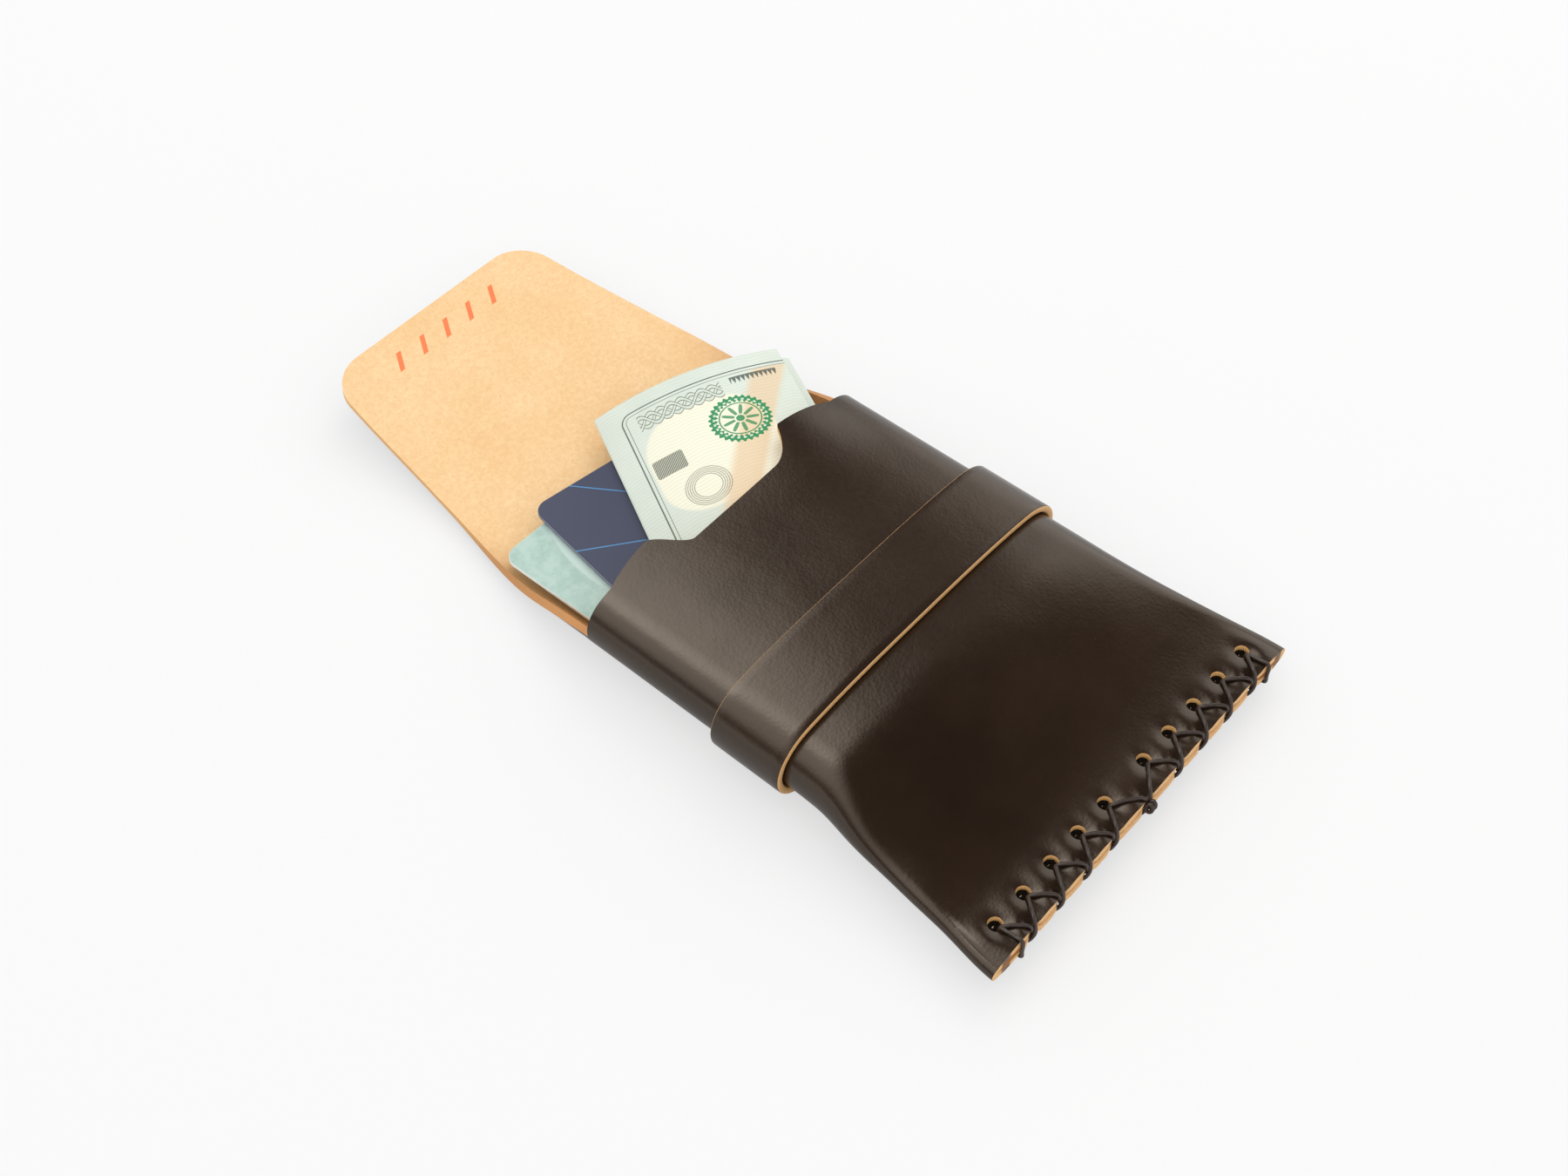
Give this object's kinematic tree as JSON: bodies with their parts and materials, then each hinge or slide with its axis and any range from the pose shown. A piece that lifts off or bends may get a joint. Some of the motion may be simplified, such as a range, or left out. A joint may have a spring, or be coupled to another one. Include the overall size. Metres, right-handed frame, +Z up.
{
  "type": "card wallet",
  "caption": "Slim wrapped leather card wallet with a laced end, a sliding keeper band and an open flap, holding cards and a folded note.",
  "frame": {"origin": "on the table, under the middle of the open wallet", "axes": "+X across the wallet, +Y from the laced end towards the flap's tip, +Z up from the table"},
  "size_m": [0.0852, 0.1856, 0.0174],
  "materials": {
    "leather": "smooth dark brown leather, satin, tan inside and on its cut edges",
    "thread": "dark brown waxed thread",
    "green_card": "satin pale green card",
    "navy_card": "satin dark blue card with light blue lines",
    "note_paper": "printed cotton paper"
  },
  "bodies": {
    "wallet": {"sleeve": "leather", "lacing_thread": "thread", "card_green": "green_card", "card_navy": "navy_card", "banknote": "note_paper"},
    "keeper": {"keeper_band": "leather"}
  },
  "joints": [
    {"name": "band_slide", "type": "slide", "parent": "wallet", "child": "keeper", "axis": [0, 1, 0], "range_m": [-0.006, 0.012]}
  ]
}
